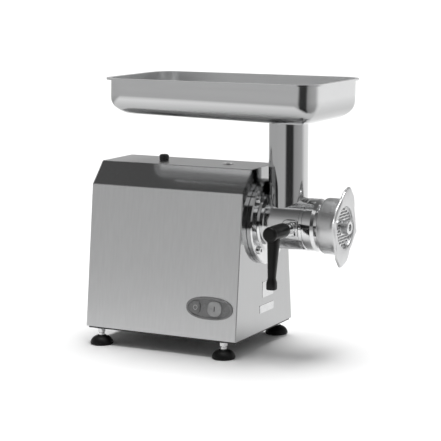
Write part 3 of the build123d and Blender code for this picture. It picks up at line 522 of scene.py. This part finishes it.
def build_pad():
    """Arched pad on the sleeve that carries the clamp, with a polished collar on it."""
    turns = [math.pi / 2 * step / 12 for step in range(13)]
    arch_x, arch_z = PAD_LEFT + PAD_ARCH, PAD_TOP - PAD_ARCH
    corner_x, corner_z = PAD_RIGHT - PAD_ROUND, PAD_TOP - PAD_ROUND
    outline = [(arch_x - PAD_ARCH * math.cos(turn), arch_z + PAD_ARCH * math.sin(turn)) for turn in turns]
    outline += [(corner_x + PAD_ROUND * math.sin(turn), corner_z + PAD_ROUND * math.cos(turn)) for turn in turns]
    outline += [(PAD_RIGHT, PAD_LOW), (PAD_LEFT, PAD_LOW)]
    rings = []
    for y, inset in ((-0.0400, 0.0), (-0.0478, 0.0), (-0.0488, 0.0003), (-0.0494, 0.0009), (-0.0497, 0.0018)):
        size = 1 - inset / (PAD_RIGHT - LEVER_X)
        rings.append([(LEVER_X + (x - LEVER_X) * size, y, HEAD_Z + (z - HEAD_Z) * size) for x, z in outline])
    skin("clamp_pad", rings, "polished", "root")
    washer = []
    for start, end, foot, swell in COLLAR_BEADS:
        for step in range(13):
            turn = math.pi * step / 12
            along = 0.5 - 0.5 * math.cos(turn)
            washer.append((start + (end - start) * along, foot + swell * math.sin(turn)))
    bead("clamp_collar", washer, "polished", "clamp_lever", ("lever_washer",))


def build_knob():
    """Breather cap: finely ribbed, with a domed top."""
    low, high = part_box("breather_cap")
    middle, radius, tall = (low + high) / 2, (high.x - low.x) / 2, high.z - low.z
    rings = []
    for share, width, rib in KNOB_PROFILE:
        ring = []
        for step in range(KNOB_STEPS):
            turn = 2 * math.pi * step / KNOB_STEPS
            reach = radius * (width - rib * (0.5 + 0.5 * math.cos(KNOB_RIBS * turn)))
            x, y = middle.x + reach * math.cos(turn), middle.y + reach * math.sin(turn)
            ring.append((x, y, low.z + tall * share))
        rings.append(ring)
    skin("breather_knob", rings, "knob", "root", ("breather_cap",))


# ---- Switch ----
def switch_frame():
    """Matrix of the switch: its X along the housing, its Z out of the leaning side."""
    foot, bend = Vector((0, WRAP_LOW.y, WRAP_LOW.z)), Vector((0, 0, BEND_Z))
    lean = Vector((0, -1, (abs(WRAP_LOW.y) - BEND_HALF) / (BEND_Z - foot.z))).normalized()
    centre = (BEZEL_LOW + BEZEL_HIGH) / 2
    height = (centre.z - foot.z) / (bend.z - foot.z)
    y = WRAP_LOW.y + (abs(WRAP_LOW.y) - BEND_HALF) * height
    across = Vector((1, 0, 0))
    matrix = Matrix((across, lean.cross(across), lean)).transposed().to_4x4()
    return Matrix.Translation((centre.x, y, centre.z)) @ matrix


def oval(matrix, middle, length, height, level, power=2.0, steps=72):
    """Super-ellipse ring on the switch's plane, raised to a level."""
    points = []
    for step in range(steps):
        angle = 2 * math.pi * step / steps
        c, s = math.cos(angle), math.sin(angle)
        x = middle + math.copysign(abs(c) ** (2 / power), c) * length / 2
        y = math.copysign(abs(s) ** (2 / power), s) * height / 2
        points.append(matrix @ Vector((x, y, level)))
    return points


def build_switch():
    """Dished bezel with a domed stop and start button and their signs."""
    matrix = switch_frame()
    rim = [oval(matrix, 0, SWITCH_L, SWITCH_H, -0.0008, 2.3), oval(matrix, 0, SWITCH_L, SWITCH_H, 0.0012, 2.3)]
    for step in range(1, 7):
        turn = math.pi / 2 * step / 6
        shrink = 0.0036 * (1 - math.cos(turn))
        rim.append(oval(matrix, 0, SWITCH_L - shrink, SWITCH_H - shrink, 0.0012 + 0.0018 * math.sin(turn), 2.3))
    for step in range(1, 7):
        turn = math.pi / 2 * step / 6
        shrink = 0.0050 + 0.0040 * math.sin(turn)
        rim.append(oval(matrix, 0, SWITCH_L - shrink, SWITCH_H - shrink, 0.0010 + 0.0020 * math.cos(turn), 2.3))
    skin("switch_bezel_skin", rim, "bezel", "root", ("switch_bezel",))
    buttons = (
        ("stop", STOP_X, 0.0180, 0.0225, "button_grey", "stop_button"),
        ("start", START_X, 0.0270, 0.0260, "button_light", "start_button"),
    )
    for look, middle, length, height, slot, node in buttons:
        cap = [oval(matrix, middle, length, height, level, 2.5) for level in (0.0002, 0.0030)]
        for step in range(1, 9):
            turn = math.pi / 2 * step / 8
            shrink = 0.0050 * (1 - math.cos(turn))
            level = 0.0030 + 0.0011 * math.sin(turn)
            cap.append(oval(matrix, middle, length - shrink, height - shrink, level, 2.5))
        for step in range(1, 5):
            shrink = 0.0050 + step * 0.0025
            cap.append(oval(matrix, middle, length - shrink, height - shrink, 0.0041 - 0.0001 * step, 2.5))
        skin(node + "_skin", cap, look, node, (node,))
    ring = []
    for step in range(12):
        turn = 2 * math.pi * step / 12
        size = 0.0076 + 0.0008 * math.cos(turn)
        ring.append(oval(matrix, STOP_X, size, size, 0.0038 + 0.0003 * math.sin(turn)))
    skin("stop_sign", ring, "sign", "stop_button", (), True)
    bar = [oval(matrix, START_X, 0.0016, 0.0092, level, 5.0) for level in (0.0034, 0.0040)]
    bar.append(oval(matrix, START_X, 0.0012, 0.0088, 0.0042, 5.0))
    skin("start_sign", bar, "sign_dark", "start_button")


# ---- Stage, light and camera ----
def paper_floor():
    """Very wide pale floor, plain to look at; in reflections it is greyer far out at the front right."""
    corners = [(x * FLOOR_HALF, y * FLOOR_HALF, 0) for x, y in ((-1, -1), (1, -1), (1, 1), (-1, 1))]
    mesh = bpy.data.meshes.new("floor")
    mesh.from_pydata(corners, [], [(0, 1, 2, 3)])
    floor = bpy.data.objects.new("floor", mesh)
    bpy.context.scene.collection.objects.link(floor)
    nodes = Nodes("floor_paper")
    x, y = nodes.axis("X"), nodes.axis("Y")
    squares = nodes.math("ADD", nodes.math("MULTIPLY", x, x), nodes.math("MULTIPLY", y, y))
    distance = nodes.math("SQRT", squares, 0)
    bearing = nodes.math("ARCTAN2", x, nodes.math("MULTIPLY", y, -1.0))
    turn = nodes.spread(bearing, 0, 1, -math.pi, math.pi)
    far = ramp(nodes.tree, turn, [(0.5 + angle / 360, tone * FLOOR) for angle, tone in FLOOR_AROUND])
    looked_at = nodes.add("ShaderNodeLightPath").outputs["Is Camera Ray"]
    mirrored = nodes.math("SUBTRACT", 1.0, looked_at)
    fall = nodes.math("MULTIPLY", nodes.spread(distance, 0, 1, 0.75, 1.25), mirrored)
    mix = nodes.add("ShaderNodeMix", data_type="RGBA")
    nodes.link(fall, mix.inputs["Factor"])
    mix.inputs["A"].default_value = (FLOOR, FLOOR, FLOOR, 1)
    nodes.link(far, mix.inputs["B"])
    nodes.link(mix.outputs["Result"], nodes.shader.inputs["Base Color"])
    nodes.set(Roughness=0.8, Specular_IOR_Level=0.1)
    mesh.materials.append(nodes.material)


def sun(name, azimuth, elevation, strength, width):
    """Soft sun. Azimuth 0 shines from the -Y side, 90 from the +X side."""
    light = bpy.data.lights.new(name, "SUN")
    light.energy = strength
    light.angle = math.radians(width)
    lamp = bpy.data.objects.new(name, light)
    a, e = math.radians(azimuth), math.radians(elevation)
    aim = Vector((math.sin(a) * math.cos(e), -math.cos(a) * math.cos(e), math.sin(e)))
    lamp.rotation_mode = "QUATERNION"
    lamp.rotation_quaternion = aim.to_track_quat("Z", "Y")
    bpy.context.scene.collection.objects.link(lamp)


def ramp(tree, value, stops):
    """Colour ramp over a value, from (place, grey) stops."""
    node = tree.nodes.new("ShaderNodeValToRGB")
    tree.links.new(value, node.inputs["Fac"])
    elements = node.color_ramp.elements
    while len(elements) < len(stops):
        elements.new(0.5)
    for element, (place, tone) in zip(elements, stops):
        element.position = place
        element.color = (tone, tone, tone, 1)
    return node.outputs["Color"]


def studio():
    """World with a bright horizon, a dark flag at its front right and a dim ceiling, and soft suns."""
    world = bpy.data.worlds.new("studio")
    bpy.context.scene.world = world
    world.use_nodes = True
    tree = world.node_tree
    place = tree.nodes.new("ShaderNodeTexCoord")
    parts = tree.nodes.new("ShaderNodeSeparateXYZ")
    tree.links.new(place.outputs["Generated"], parts.inputs["Vector"])
    flip = tree.nodes.new("ShaderNodeMath")
    flip.operation = "MULTIPLY"
    flip.inputs[1].default_value = -1.0
    tree.links.new(parts.outputs["Y"], flip.inputs[0])
    bearing = tree.nodes.new("ShaderNodeMath")
    bearing.operation = "ARCTAN2"
    tree.links.new(parts.outputs["X"], bearing.inputs[0])
    tree.links.new(flip.outputs["Value"], bearing.inputs[1])
    turn = tree.nodes.new("ShaderNodeMapRange")
    turn.inputs["From Min"].default_value = -math.pi
    turn.inputs["From Max"].default_value = math.pi
    tree.links.new(bearing.outputs["Value"], turn.inputs["Value"])
    around = ramp(tree, turn.outputs["Result"], [(0.5 + angle / 360, tone) for angle, tone in AROUND])
    height = ramp(tree, parts.outputs["Z"], HEIGHT)
    mix = tree.nodes.new("ShaderNodeMix")
    mix.data_type = "RGBA"
    mix.blend_type = "MULTIPLY"
    mix.inputs["Factor"].default_value = 1.0
    tree.links.new(around, mix.inputs["A"])
    tree.links.new(height, mix.inputs["B"])
    tree.links.new(mix.outputs["Result"], tree.nodes["Background"].inputs["Color"])
    for name, azimuth, elevation, strength, width in SUNS:
        sun(name, azimuth, elevation, strength, width)


def photo_camera():
    """Long-lens camera to the front right of the switch side."""
    azimuth, elevation = math.radians(CAMERA_AZIMUTH), math.radians(CAMERA_ELEVATION)
    back = Vector((
        math.sin(azimuth) * math.cos(elevation),
        -math.cos(azimuth) * math.cos(elevation),
        math.sin(elevation),
    ))
    right = Vector((math.cos(azimuth), math.sin(azimuth), 0))
    up = back.cross(right)
    camera = bpy.data.objects.new("camera", bpy.data.cameras.new("camera"))
    camera.data.lens = CAMERA_LENS
    camera.data.sensor_width = 36.0
    camera.data.clip_end = 120.0
    target = Vector((PANEL_X, 0, CAMERA_AIM_Z)) - right * CAMERA_LEFT - up * CAMERA_DOWN
    camera.location = target + back * CAMERA_DISTANCE
    camera.rotation_mode = "QUATERNION"
    camera.rotation_quaternion = (-back).to_track_quat("-Z", "Y")
    bpy.context.scene.collection.objects.link(camera)
    bpy.context.scene.camera = camera
    bpy.context.scene.view_settings.view_transform = "Standard"


build_ring_nut()
build_lever()
build_pad()
build_knob()
build_switch()
paper_floor()
studio()
photo_camera()
